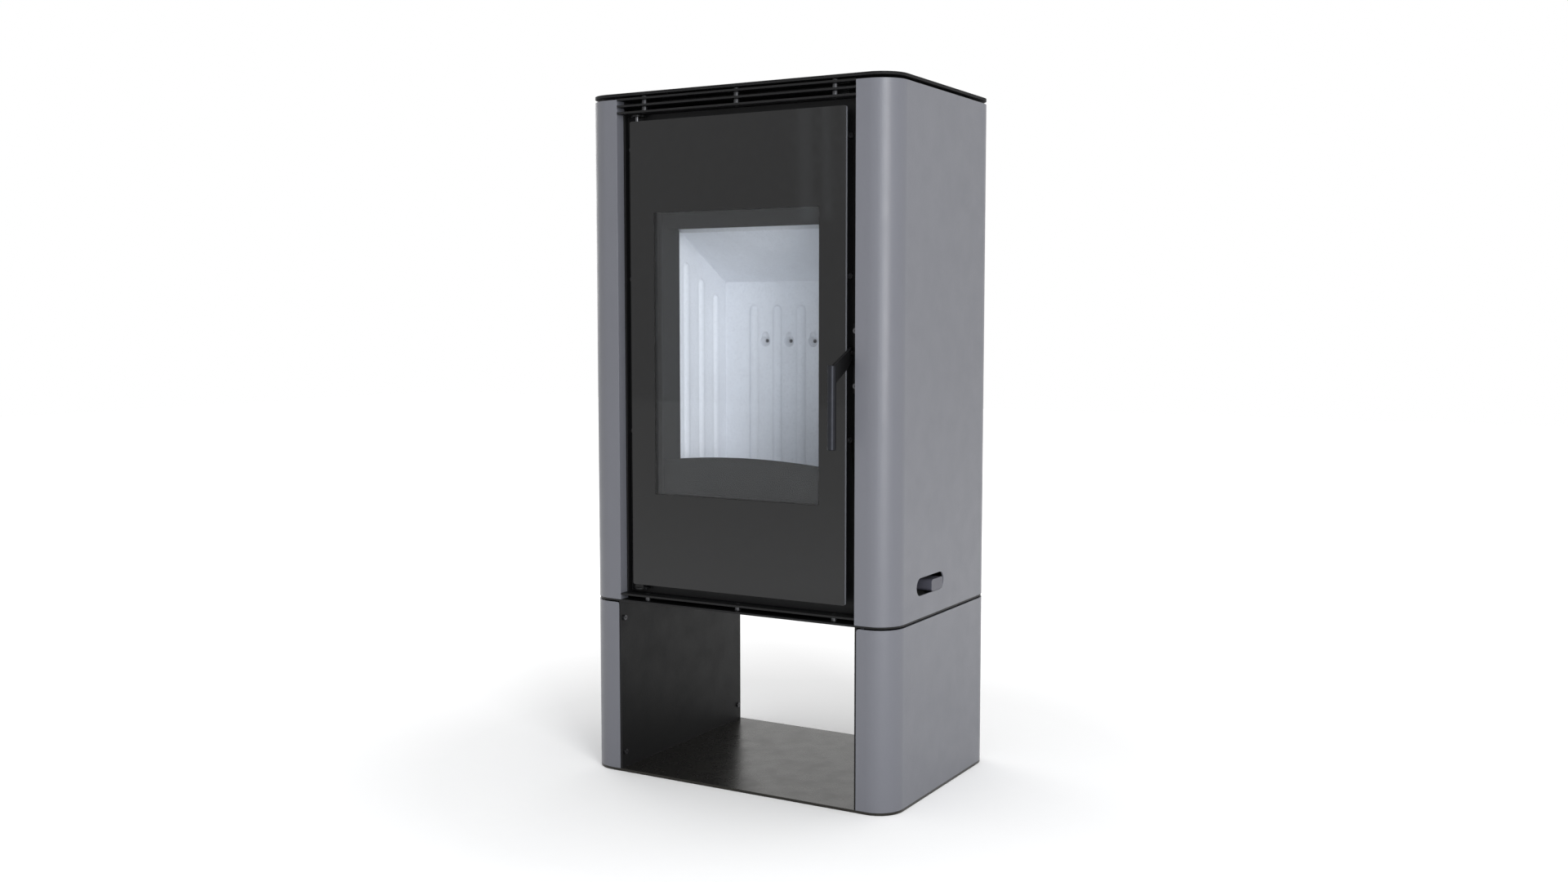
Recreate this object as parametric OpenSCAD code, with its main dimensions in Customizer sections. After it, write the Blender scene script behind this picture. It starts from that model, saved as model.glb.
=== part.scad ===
// Wood burning stove with log store, glazed door, top grille and side air control.
// Frame: origin at the centre of the footprint on the floor, +Z up, the door faces -Y.

/* [Body] */
// Overall width (X)
body_w = 524; // [480:1:640]
// Overall depth (Y)
body_d = 354; // [330:1:440]
// Overall height (Z)
body_h = 1040; // [1000:1:1260]
// Radius of the four upright corners
corner_r = 40; // [30:1:60]
// Sheet thickness of the side casings
casing_t = 2.5; // [1.5:0.5:4]
// Depth of the return flange behind each post
flange_depth = 20; // [14:1:24]
// Width of the lower front posts
lower_post_w = 56; // [45:1:70]
// Width of the upper front posts
upper_post_w = 59.5; // [50:0.5:70]

/* [Base and log store] */
// Thickness of the base plate
base_t = 4; // [3:0.5:8]
// Clear height of the log store
log_store_h = 263.7; // [200:0.1:320]
// Thickness of the log store side panels
panel_t = 3; // [2:0.5:5]
// Thickness of the separator plate above the log store
separator_t = 3; // [2:0.5:6]
// How far the separator edge sits inside the casing
separator_inset = 1; // [0:0.5:3]
// Shadow gap above the lower casings
shadow_gap = 2; // [1:0.5:4]
// Rounding of the inner top corner of the lower casings
casing_nick_r = 4; // [2:0.5:8]

/* [Top] */
// Thickness of the top plate
top_t = 4; // [3:0.5:8]
// Gap between casings and top plate
top_gap = 4.7; // [3:0.1:10]
// Thickness of the carrier plate under the top plate
carrier_t = 3; // [2:0.5:5]
// Radius of the top plate spacers
spacer_r = 12; // [8:1:20]

/* [Grilles] */
// Thickness of a grille slat
slat_t = 3; // [2:0.5:4]
// Free gap between two slats
slat_gap = 7; // [5:0.5:12]
// Depth of a slat
slat_depth = 31; // [20:1:32]
// Gap between the top plate and the first slat
first_slat_gap = 3.5; // [3:0.1:8]
// Gap between the separator and the louvre slat
louvre_gap = 7.1; // [5:0.1:12]
// Radius of the studs that hold the slats
stud_r = 4.5; // [3:0.5:6]
// Radius of the stud necks inside the slats
stud_neck_r = 3; // [2:0.5:4]
// Spacing of the studs along the slat
stud_pitch = 162; // [120:1:180]
// Distance of the studs behind the front plane
stud_setback = 16; // [10:1:20]

/* [Door] */
// Width of the door glass
glass_w = 367.4; // [320:0.1:380]
// Height of the door glass
glass_h = 702.3; // [600:0.1:720]
// Thickness of the door glass
glass_t = 4; // [3:0.5:6]
// Distance of the glass behind the front plane
glass_setback = 7.5; // [4:0.5:10]
// Gap between the separator and the bottom of the glass
glass_lift = 25; // [20:0.5:40]
// Corner radius of the glass
glass_r = 3; // [1:0.5:8]
// Sheet thickness of the door frame
door_t = 3; // [2:0.5:4]
// Depth of the door frame rim
rim_depth = 7.5; // [6:0.5:8]
// Width of the clear window
window_w = 282; // [240:1:290]
// Height of the clear window
window_h = 424; // [360:1:440]
// Height of the window bottom above the separator
window_lift = 166.3; // [150:0.1:190]
// Width of the sealing rope
rope_w = 9; // [6:0.5:12]
// Corner radius of the sealing rope loop
rope_corner_r = 14; // [11:1:30]
// Radius of the hinge pins
hinge_pin_r = 3; // [2:0.5:4]
// Distance of the hinge axis from the left edge of the glass
hinge_edge = 7.7; // [6:0.1:12]

/* [Handle] */
// Radius of the handle grip
grip_r = 6.2; // [5:0.1:9]
// Length of the handle grip
grip_len = 117.4; // [90:0.1:150]
// Thickness of the handle arm
arm_t = 4; // [3:0.5:6]
// How far the grip stands in front of the stove
grip_out = 39.5; // [30:0.5:60]
// Drop from the pivot to the top of the grip
grip_drop = 16.3; // [10:0.1:30]
// Height of the arm where it meets the grip
arm_h = 29; // [20:1:34]
// Radius of the lever hub
hub_r = 8; // [6:0.5:8]
// Radius of the lever pivot pin
pivot_r = 3; // [2:0.5:4]
// Height of the pivot above the separator
pivot_lift = 384.3; // [330:0.1:420]

/* [Firebox] */
// Outer width of the firebox
firebox_w = 344; // [330:1:348]
// Depth of the firebox behind the front frame
firebox_d = 251; // [235:1:270]
// Steel thickness of the firebox
firebox_t = 4; // [3:0.5:6]
// Height of the firebox feet
feet_h = 21.3; // [15:0.1:40]
// Height of the air box inside
air_box_h = 44; // [44:1:60]
// Clear height of the ash compartment
ash_h = 68; // [64:1:80]
// Thickness of the hearth slab
hearth_t = 24; // [20:1:30]
// Thickness of the lining boards
lining_t = 28; // [22:1:30]
// Depth of the air duct behind the lining
duct_d = 39; // [30:1:45]
// Height of the low end of the baffle above the hearth
baffle_low = 321.4; // [280:0.1:340]
// Slope of the baffle in degrees
baffle_slope = 29.7; // [24:0.1:33]
// Thickness of the baffle board
baffle_t = 25; // [20:1:30]
// Spacing of the pressed ribs
rib_pitch = 43.5; // [36:0.5:46]
// Radius of a pressed rib
rib_r = 10; // [8:0.5:11]
// How far a rib stands out
rib_out = 4; // [2:0.5:5]
// Radius of an air nozzle
nozzle_r = 3; // [2:0.5:4]
// Height of the air nozzles above the hearth
nozzle_h = 227.5; // [180:0.5:240]
// Height of the log retainer at its middle
retainer_h = 56; // [40:1:80]
// Drop of the retainer at its ends
retainer_sag = 8; // [0:1:20]
// Radius of the cast grate
grate_r = 76; // [60:1:78]
// Thickness of the cast grate
grate_t = 14; // [10:1:20]

/* [Air and flue] */
// Outer radius of the flue collar
flue_r = 74.5; // [60:0.5:75]
// Wall of the flue collar
flue_wall = 3; // [2:0.5:4]
// Height of the flue collar
flue_h = 40; // [34:1:42]
// Clearance hole around the flue collar
flue_clear_r = 82.5; // [80:0.5:88]
// Outer radius of the air inlet
inlet_r = 49.5; // [40:0.5:52]
// Wall of the air inlet
inlet_wall = 2; // [1.5:0.5:3]
// Length of the side slot
slot_l = 94; // [85:1:110]
// Height of the side slot
slot_h = 26; // [20:1:34]
// Length of the air knob
knob_l = 39; // [25:1:42]
// Height of the air knob
knob_h = 17.5; // [12:0.5:20]
// Depth of the air knob
knob_d = 25; // [18:1:30]
// Corner radius of the air knob
knob_r = 5; // [3:0.5:6]
// Travel of the air knob
knob_travel = 44; // [30:1:46]
// Radius of the air rod
rod_r = 4; // [3:0.5:5]

/* [Hidden] */
$fn = 48;

// Clearances
run_gap = 0.05;
slide_gap = 0.3;
cut = 1;

// Screws
screw_r = 2.4;
screw_hole_r = 2.6;
screw_head_r = 4;
screw_head_h = 2.6;
screw_key_r = 1.6;
screw_len = 9;

// Levels
log_top = base_t + log_store_h;
separator_top = log_top + separator_t;
casing_low_top = log_top - shadow_gap;
top_under = body_h - top_t;
casing_top = top_under - top_gap;
carrier_under = casing_top - carrier_t;
slat_top_z = top_under - first_slat_gap - slat_t;
slat_mid_z = slat_top_z - slat_gap - slat_t;
slat_low_z = slat_mid_z - slat_gap - slat_t;
louvre_z = separator_top + louvre_gap;
louvre_top = louvre_z + slat_t;
glass_z = separator_top + glass_lift;
glass_top = glass_z + glass_h;
window_z = separator_top + window_lift;
window_top = window_z + window_h;

// Planes along Y, from front to back
front_y = -body_d / 2;
back_y = body_d / 2;
glass_y = front_y + glass_setback;
plate_y = glass_y + glass_t;
rim_y = plate_y + door_t;
rim_end_y = rim_y + rim_depth;
frame_gap = 5;
frame_t = 4;
frame_y = rim_end_y + frame_gap;
box_y = frame_y + frame_t;
box_back_y = box_y + firebox_d;
duct_y = box_back_y - firebox_t - duct_d;
duct_t = 3;
lining_back_y = duct_y - duct_t - lining_t;
throat_d = 45;
lining_front_y = box_y + throat_d;

// Sides
upper_edge = body_w / 2 - upper_post_w;
lower_edge = body_w / 2 - lower_post_w;
frame_return_t = 3;
frame_return_d = 10;
box_x = firebox_w / 2;
wall_x = box_x - firebox_t;
lining_x = wall_x - lining_t;

// Firebox levels
box_z = separator_top + feet_h;
air_z = box_z + firebox_t;
deck_z = air_z + air_box_h;
ash_z = deck_z + firebox_t;
shelf_z = ash_z + ash_h;
slab_z = shelf_z + firebox_t;
hearth_z = slab_z + hearth_t;
box_top_gap = 39.3;
box_top_z = carrier_under - box_top_gap - firebox_t;
baffle_z = hearth_z + baffle_low;
baffle_rise = tan(baffle_slope);
baffle_up = baffle_t / cos(baffle_slope);
smoke_gap = 35;
deflector_t = 3;
deflector_d = 15;
deflector_drop = 23;
baffle_front_y = box_y + deflector_d + smoke_gap;
function slope_z(y) = baffle_z + (lining_back_y - y) * baffle_rise;

// Hinge and lever
hinge_x = -glass_w / 2 + hinge_edge;
hinge_y = plate_y + hinge_pin_r + 1.5;
lug_w = 16;
lug_h = 22;
lug_d = 9.5;
bracket_t = 3;
bracket_w = 22;
bracket_top_z = slat_low_z - cut - bracket_t;
bracket_low_z = glass_z - 5.7 - bracket_t;
frame_left = -glass_w / 2 + 0.7;
frame_right = glass_w / 2 - 10.7;
frame_low = glass_z + 2.3;
frame_high = glass_top - 2;
rope_half = window_w / 2 + 16;
block_x = rope_half + rope_w / 2 + 1.5;
pivot_y = rim_y + pivot_r + 0.5;
pivot_z = separator_top + pivot_lift;
arm_x = glass_w / 2 + 1.3;
block_h = 24;
grip_x = arm_x + arm_t / 2;
grip_y = front_y - grip_out;
grip_top = pivot_z - grip_drop;

// Side air control
slot_y = -49;
slot_z = air_z + air_box_h / 2 - 1.5 - 0.2;
knob_y = slot_y + slot_l / 2 - 5.5 - knob_l / 2;
knob_z = slot_z - 3.4;
knob_x = body_w / 2 + 1;
shutter_t = 3;
shutter_w = 90;
shutter_l = 85;
shutter_x = wall_x - 18 - shutter_w / 2;
rail_t = 3;
rail_lip = 4;
rail_room = 6;

// Flue and inlet places
flue_y = 0;
flue_flange_r = 93;
flue_flange_t = 4;
flue_bolt_r = 84;
inlet_z = deck_z + 10;
inlet_flange_r = 60;
inlet_hole_r = 58;
rear_flange_y = back_y - flange_depth;
rear_lip = 14;
rear_panel_t = 2;

// ---------- helpers ----------

module rounded_rect(w, d, r) {
    square([w - 2 * r, d], center = true);
    square([w, d - 2 * r], center = true);
    for (sx = [-1, 1])
        for (sy = [-1, 1])
            translate([sx * (w / 2 - r), sy * (d / 2 - r)])
                circle(r = r);
}

module slot_2d(length, height) {
    square([length - height, height], center = true);
    for (s = [-1, 1])
        translate([s * (length - height) / 2, 0])
            circle(r = height / 2);
}

module box(x0, x1, y0, y1, z0, z1) {
    translate([x0, y0, z0])
        cube([x1 - x0, y1 - y0, z1 - z0]);
}

// An outline drawn in Y and Z, extruded along X
module along_x(x0, x1) {
    translate([x0, 0, 0])
        rotate([90, 0, 90])
            linear_extrude(height = x1 - x0)
                children();
}

// An outline drawn in X and Z, extruded along Y
module along_y(y0, y1) {
    translate([0, y1, 0])
        rotate([90, 0, 0])
            linear_extrude(height = y1 - y0)
                children();
}

module bar_x(x0, x1, y, z, r) {
    translate([x0, y, z])
        rotate([0, 90, 0])
            cylinder(r = r, h = x1 - x0);
}

module bar_y(x, y0, y1, z, r) {
    translate([x, y0, z])
        rotate([-90, 0, 0])
            cylinder(r = r, h = y1 - y0);
}

// Socket screw along +Z with its head below the origin
module screw(length) {
    difference() {
        union() {
            translate([0, 0, -screw_head_h])
                cylinder(r = screw_head_r, h = screw_head_h);
            cylinder(r = screw_r, h = length);
        }
        translate([0, 0, -screw_head_h - cut])
            cylinder(r = screw_key_r, h = screw_head_h / 2 + cut, $fn = 6);
    }
}

// Plan of one side casing, for the +X side
module casing_plan(edge, flange_back) {
    difference() {
        intersection() {
            rounded_rect(body_w, body_d, corner_r);
            translate([edge, -body_d])
                square([body_w, 2 * body_d]);
        }
        rounded_rect(body_w - 2 * casing_t, body_d - 2 * casing_t, corner_r - casing_t);
    }
    translate([edge, front_y])
        square([casing_t, flange_depth]);
    translate([edge, back_y - flange_depth])
        square([casing_t, flange_depth]);
    if (flange_back > 0)
        translate([edge - flange_back, back_y - flange_depth])
            square([flange_back + casing_t, casing_t]);
}

// ---------- base and log store ----------

module base_plate() {
    color("#1b1b1c")
        linear_extrude(height = base_t)
            rounded_rect(body_w, body_d, corner_r);
}

panel_screw_y = front_y + flange_depth / 2;
panel_screw_inset = 25;

module panel_screw_places() {
    for (sy = [-1, 1])
        for (z = [base_t + panel_screw_inset, casing_low_top - panel_screw_inset])
            translate([lower_edge - panel_t, sy * panel_screw_y, z])
                rotate([0, 90, 0])
                    children();
}

module log_panel_right() {
    color("#202021")
        difference() {
            box(lower_edge - panel_t, lower_edge,
                front_y + separator_inset, back_y - separator_inset, base_t, log_top);
            panel_screw_places()
                translate([0, 0, -cut])
                    cylinder(r = screw_hole_r, h = panel_t + 2 * cut);
        }
}

module log_panel_left() {
    mirror([1, 0, 0])
        log_panel_right();
}

module panel_screws() {
    color("#2c2c2e")
        for (m = [0, 1])
            mirror([m, 0, 0])
                panel_screw_places()
                    screw(screw_len);
}

module lower_casing_right() {
    color("#85868b")
        difference() {
            translate([0, 0, base_t])
                linear_extrude(height = casing_low_top - base_t)
                    casing_plan(lower_edge, 0);
            panel_screw_places()
                translate([0, 0, -cut])
                    cylinder(r = screw_hole_r, h = panel_t + casing_t + 2 * cut);
            for (sy = [-1, 1])
                translate([0, sy * (back_y - flange_depth / 2), 0])
                    along_y(-flange_depth, flange_depth)
                        translate([lower_edge, casing_low_top - casing_nick_r])
                            difference() {
                                translate([-cut, 0])
                                    square([casing_nick_r + cut, casing_nick_r + cut]);
                                translate([casing_nick_r, 0])
                                    circle(r = casing_nick_r);
                            }
        }
}

module lower_casing_left() {
    mirror([1, 0, 0])
        lower_casing_right();
}

module separator_plate() {
    color("#1b1b1c")
        translate([0, 0, log_top])
            difference() {
                linear_extrude(height = separator_t)
                    rounded_rect(body_w - 2 * separator_inset, body_d - 2 * separator_inset,
                        corner_r - separator_inset);
                for (x = [-stud_pitch, 0, stud_pitch])
                    translate([x, front_y + stud_setback, -cut])
                        cylinder(r = stud_neck_r, h = separator_t + 2 * cut);
            }
}

// ---------- grilles ----------

slat_side_gap = 0.3;

module slat(z) {
    translate([0, 0, z])
        difference() {
            box(-upper_edge + slat_side_gap, upper_edge - slat_side_gap,
                front_y, front_y + slat_depth, 0, slat_t);
            for (x = [-stud_pitch, 0, stud_pitch])
                translate([x, front_y + stud_setback, -cut])
                    cylinder(r = stud_neck_r, h = slat_t + 2 * cut);
        }
}

module louvre_slat() {
    color("#222224")
        slat(louvre_z);
}

module louvre_studs() {
    color("#303033")
        for (x = [-stud_pitch, 0, stud_pitch])
            translate([x, front_y + stud_setback, 0]) {
                translate([0, 0, log_top])
                    cylinder(r = stud_neck_r - run_gap, h = louvre_top - log_top);
                translate([0, 0, separator_top])
                    cylinder(r = stud_r, h = louvre_gap);
            }
}

module grille_slat_top() {
    color("#222224")
        slat(slat_top_z);
}

module grille_slat_middle() {
    color("#222224")
        slat(slat_mid_z);
}

module grille_slat_bottom() {
    color("#222224")
        slat(slat_low_z);
}

module grille_studs() {
    color("#303033")
        for (x = [-stud_pitch, 0, stud_pitch])
            translate([x, front_y + stud_setback, 0]) {
                translate([0, 0, slat_low_z])
                    cylinder(r = stud_neck_r - run_gap, h = top_under - slat_low_z);
                translate([0, 0, slat_low_z + slat_t])
                    cylinder(r = stud_r, h = slat_gap);
                translate([0, 0, slat_mid_z + slat_t])
                    cylinder(r = stud_r, h = slat_gap);
                translate([0, 0, slat_top_z + slat_t])
                    cylinder(r = stud_r, h = first_slat_gap);
            }
}

// ---------- casings and top ----------

module slot_cut() {
    translate([0, slot_y, slot_z])
        along_x(body_w / 2 - casing_t - cut, body_w / 2 + cut)
            slot_2d(slot_l, slot_h);
}

module upper_casing_plain() {
    difference() {
        translate([0, 0, separator_top])
            linear_extrude(height = casing_top - separator_top)
                casing_plan(upper_edge, rear_lip);
        rear_screw_places()
            translate([0, 0, -cut])
                cylinder(r = screw_hole_r, h = screw_len + 2 * cut);
    }
}

module upper_casing_right() {
    color("#85868b")
        difference() {
            upper_casing_plain();
            slot_cut();
        }
}

module upper_casing_left() {
    color("#85868b")
        mirror([1, 0, 0])
            upper_casing_plain();
}

module flue_hole(z0, z1) {
    translate([0, flue_y, z0 - cut])
        cylinder(r = flue_clear_r, h = z1 - z0 + 2 * cut);
}

module top_plate() {
    color("#1a1a1b")
        difference() {
            translate([0, 0, top_under])
                linear_extrude(height = top_t)
                    rounded_rect(body_w, body_d, corner_r);
            flue_hole(top_under, body_h);
        }
}

spacer_side_in = 47;
spacer_end_in = 52;

module top_spacers() {
    color("#2c2c2e")
        for (sx = [-1, 1])
            for (sy = [-1, 1])
                translate([sx * (body_w / 2 - spacer_side_in), sy * (back_y - spacer_end_in), casing_top])
                    cylinder(r = spacer_r, h = top_gap);
}

carrier_front_y = front_y + slat_depth + 1.5;

module top_carrier() {
    color("#1e1e20")
        difference() {
            translate([0, 0, carrier_under])
                linear_extrude(height = carrier_t)
                    intersection() {
                        rounded_rect(body_w - 2 * casing_t - 2 * slide_gap,
                            body_d - 2 * casing_t - 2 * slide_gap,
                            corner_r - casing_t - slide_gap);
                        translate([-body_w / 2, carrier_front_y])
                            square([body_w, body_d]);
                    }
            flue_hole(carrier_under, casing_top);
            for (s = [-1, 1])
                box(s * (upper_edge + casing_t / 2) - casing_t, s * (upper_edge + casing_t / 2) + casing_t,
                    back_y - flange_depth - slide_gap, back_y, carrier_under - cut, casing_top + cut);
            for (s = [-1, 1])
                box(s * (upper_edge - rear_lip / 2 + casing_t / 2) - rear_lip / 2 - casing_t,
                    s * (upper_edge - rear_lip / 2 + casing_t / 2) + rear_lip / 2 + casing_t,
                    rear_flange_y - slide_gap, rear_flange_y + casing_t + slide_gap,
                    carrier_under - cut, casing_top + cut);
        }
}

// ---------- front frame and rails ----------

ash_door_w = 264;
ash_door_z = ash_z + 2;
ash_door_h = 60;
frame_screw_right = 181.5;
frame_screw_left = -194;
frame_screw_z = [260, 492, 688];
catch_x = arm_x + arm_t + 0.5;
catch_w = 9;
catch_h = 98;
catch_d = 7;
catch_z = separator_top + 327.3;
catch_screw_in = 10;

module frame_screw_places() {
    for (dz = frame_screw_z) {
        translate([frame_screw_right, frame_y, separator_top + dz])
            rotate([-90, 0, 0])
                children();
        translate([frame_screw_left, frame_y, separator_top + dz])
            rotate([-90, 0, 0])
                children();
    }
}

module catch_screw_places(y) {
    for (z = [catch_z + catch_screw_in, catch_z + catch_h - catch_screw_in])
        translate([catch_x + catch_w / 2, y, z])
            rotate([-90, 0, 0])
                children();
}

module front_frame() {
    color("#19191a")
        difference() {
            union() {
                box(-upper_edge, upper_edge, frame_y, box_y, louvre_top, slat_low_z);
                for (s = [0, 1])
                    mirror([s, 0, 0])
                        box(upper_edge - frame_return_t, upper_edge,
                            box_y - frame_t - frame_return_d, box_y, louvre_top, slat_low_z);
            }
            box(-window_w / 2, window_w / 2, frame_y - cut, box_y + cut, window_z, window_top);
            box(-ash_door_w / 2, ash_door_w / 2, frame_y - cut, box_y + cut,
                ash_door_z, ash_door_z + ash_door_h);
            frame_screw_places()
                translate([0, 0, -cut])
                    cylinder(r = screw_hole_r, h = frame_t + 2 * cut);
            catch_screw_places(frame_y)
                translate([0, 0, -cut])
                    cylinder(r = screw_hole_r, h = frame_t + 2 * cut);
        }
}

rail_bar_t = 5;
rail_bar_in = 176;

module frame_screws() {
    color("#2c2c2e") {
        frame_screw_places()
            screw(screw_len);
        catch_screw_places(frame_y - catch_d)
            screw(screw_len + catch_d);
    }
}

module side_rail(x0, x1) {
    difference() {
        box(x0, x1, box_y, box_y + rail_bar_t, separator_top, carrier_under);
        frame_screw_places()
            translate([0, 0, -cut])
                cylinder(r = screw_hole_r, h = screw_len + 2 * cut);
        catch_screw_places(frame_y)
            translate([0, 0, -cut])
                cylinder(r = screw_hole_r, h = screw_len + 2 * cut);
    }
}

module side_rail_right() {
    color("#242426")
        side_rail(rail_bar_in, upper_edge);
}

module side_rail_left() {
    color("#242426")
        side_rail(-upper_edge, -rail_bar_in);
}

// ---------- firebox ----------

foot_w = 36;
foot_in = 10;

module firebox_feet() {
    color("#242426")
        for (x = [-wall_x + foot_in, wall_x - foot_in - foot_w])
            for (y = [box_y + foot_in, box_back_y - foot_in - foot_w])
                box(x, x + foot_w, y, y + foot_w, separator_top, box_z);
}

module firebox_wall_left() {
    color("#2a2a2c")
        box(-box_x, -wall_x, box_y, box_back_y - firebox_t, box_z, box_top_z);
}

module firebox_wall_right() {
    color("#2a2a2c")
        difference() {
            box(wall_x, box_x, box_y, box_back_y - firebox_t, box_z, box_top_z);
            translate([0, knob_y - knob_travel / 2, knob_z])
                along_x(wall_x - cut, box_x + cut)
                    slot_2d(knob_travel + 2 * rod_r + 4, 2 * rod_r + 4);
        }
}

module firebox_back() {
    color("#2a2a2c")
        difference() {
            box(-box_x, box_x, box_back_y - firebox_t, box_back_y, box_z, box_top_z);
            bar_y(0, box_back_y - firebox_t - cut, box_back_y + cut, inlet_z, inlet_r - inlet_wall);
        }
}

module flue_bolt_places(z) {
    for (a = [45:90:315])
        translate([flue_bolt_r * cos(a), flue_y + flue_bolt_r * sin(a), z])
            children();
}

bolt_r = 3;
bolt_hole_r = 3.2;

module firebox_top() {
    color("#2a2a2c")
        difference() {
            box(-box_x, box_x, box_y, box_back_y, box_top_z, box_top_z + firebox_t);
            translate([0, flue_y, box_top_z - cut])
                cylinder(r = flue_r - flue_wall, h = firebox_t + 2 * cut);
            flue_bolt_places(box_top_z - cut)
                cylinder(r = bolt_hole_r, h = firebox_t + 2 * cut);
        }
}

module firebox_floor() {
    color("#2a2a2c")
        box(-wall_x, wall_x, box_y, box_back_y - firebox_t, box_z, air_z);
}

port_w = 70;
port_l = 14;
port_pitch = 28;

module port_places() {
    for (k = [-1, 0, 1])
        translate([shutter_x, knob_y - knob_travel / 2 + k * port_pitch, 0])
            children();
}

module firebox_deck() {
    color("#2a2a2c")
        difference() {
            box(-wall_x, wall_x, box_y, duct_y - duct_t, deck_z, ash_z);
            port_places()
                translate([-port_w / 2, -port_l / 2, deck_z - cut])
                    cube([port_w, port_l, firebox_t + 2 * cut]);
        }
}

grate_y = (box_y + lining_back_y) / 2;
grate_rest = 12;
grate_gap = 1;

module hearth_shelf() {
    color("#2a2a2c")
        difference() {
            box(-wall_x, wall_x, box_y, duct_y - duct_t, shelf_z, slab_z);
            translate([0, grate_y, shelf_z - cut])
                cylinder(r = grate_r - grate_rest, h = firebox_t + 2 * cut);
        }
}

module duct_plate() {
    color("#2a2a2c")
        difference() {
            box(-wall_x, wall_x, duct_y - duct_t, duct_y, deck_z, box_top_z);
            nozzle_places()
                bar_y(0, duct_y - duct_t - cut, duct_y + cut, 0, nozzle_r);
        }
}

jamb_t = 3;

module throat_liner() {
    color("#1d1d1e") {
        for (m = [0, 1])
            mirror([m, 0, 0])
                along_x(window_w / 2, window_w / 2 + jamb_t)
                    polygon([
                        [box_y, hearth_z],
                        [lining_front_y, hearth_z],
                        [lining_front_y, window_top - deflector_drop],
                        [box_y, window_top]
                    ]);
        along_x(-wall_x, wall_x)
            polygon([
                [box_y, window_top],
                [box_y + deflector_d, window_top - deflector_drop],
                [box_y + deflector_d + deflector_t, window_top - deflector_drop],
                [box_y + deflector_t, window_top + deflector_t],
                [box_y, window_top + deflector_t]
            ]);
    }
}

retainer_t = 4;
retainer_half = window_w / 2 - 0.5;
retainer_arc = (retainer_half * retainer_half + retainer_sag * retainer_sag)
    / (2 * max(retainer_sag, 0.5));

module log_retainer() {
    color("#232325")
        along_y(box_y, box_y + retainer_t)
            intersection() {
                translate([-retainer_half, hearth_z])
                    square([2 * retainer_half, retainer_h]);
                translate([0, hearth_z + retainer_h - retainer_arc])
                    circle(r = retainer_arc, $fn = 200);
            }
}

// ---------- linings ----------

rib_stop = 35;

module nozzle_places() {
    for (k = [-1.5, -0.5, 0.5, 1.5])
        translate([k * rib_pitch, 0, hearth_z + nozzle_h])
            children();
}

// A raised rib with a rounded top that stands out of a board
module wall_rib(top) {
    translate([0, 0, hearth_z])
        cylinder(r = rib_r, h = top - rib_r - hearth_z);
    translate([0, 0, top - rib_r])
        sphere(r = rib_r);
}

module lining_back() {
    color("#cfd0d2")
        difference() {
            union() {
                box(-wall_x, wall_x, lining_back_y, duct_y - duct_t, hearth_z,
                    baffle_z + baffle_up + lining_t);
                for (k = [-2:2])
                    translate([k * rib_pitch, lining_back_y + rib_r - rib_out, 0])
                        wall_rib(baffle_z - rib_stop);
            }
            nozzle_places()
                bar_y(0, lining_back_y - rib_out, duct_y, 0, nozzle_r);
            nozzle_places() {
                translate([0, lining_back_y - 4, 0])
                    sphere(r = 10);
                translate([0, lining_back_y - 4.5, 8])
                    sphere(r = 8);
            }
        }
}

side_rib_pitch = 42.5;
side_rib_first = 17.3;
side_ribs = 3;

module lining_right() {
    color("#cfd0d2")
        difference() {
            union() {
                along_x(lining_x, wall_x)
                    polygon([
                        [lining_front_y, hearth_z],
                        [lining_back_y, hearth_z],
                        [lining_back_y, slope_z(lining_back_y)],
                        [lining_front_y, slope_z(lining_front_y)]
                    ]);
                for (y = [for (k = [0:side_ribs - 1]) lining_front_y + side_rib_first + k * side_rib_pitch])
                    translate([lining_x + rib_r - rib_out, y, 0])
                        wall_rib(slope_z(y) - rib_stop);
            }
        }
}

module lining_left() {
    mirror([1, 0, 0])
        lining_right();
}

module baffle() {
    color("#c4c5c8")
        along_x(-wall_x + slide_gap, wall_x - slide_gap)
            polygon([
                [lining_back_y, slope_z(lining_back_y)],
                [lining_back_y, slope_z(lining_back_y) + baffle_up],
                [baffle_front_y, slope_z(baffle_front_y) + baffle_up],
                [baffle_front_y, slope_z(baffle_front_y)]
            ]);
}

module hearth_slab() {
    color("#c4c5c8")
        difference() {
            box(-wall_x, wall_x, box_y, duct_y - duct_t, slab_z, hearth_z);
            translate([0, grate_y, slab_z - cut])
                cylinder(r = grate_r + grate_gap, h = hearth_t + 2 * cut);
        }
}

grate_slot = 8;
grate_step = 17;

module grate() {
    color("#2b2b2d")
        difference() {
            translate([0, grate_y, slab_z])
                cylinder(r = grate_r, h = grate_t);
            for (k = [-3:3])
                translate([k * grate_step, grate_y, slab_z - cut])
                    linear_extrude(height = grate_t + 2 * cut)
                        rotate([0, 0, 90])
                            slot_2d(2 * sqrt(pow(grate_r - grate_rest, 2) - pow(k * grate_step, 2)),
                                grate_slot);
        }
}

pan_w = 250;
pan_t = 2;
pan_h = 56;
pan_front_y = box_y + 6;
pan_back_y = duct_y - duct_t - 10;
pan_grip_w = 80;
pan_grip_h = 14;

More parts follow.
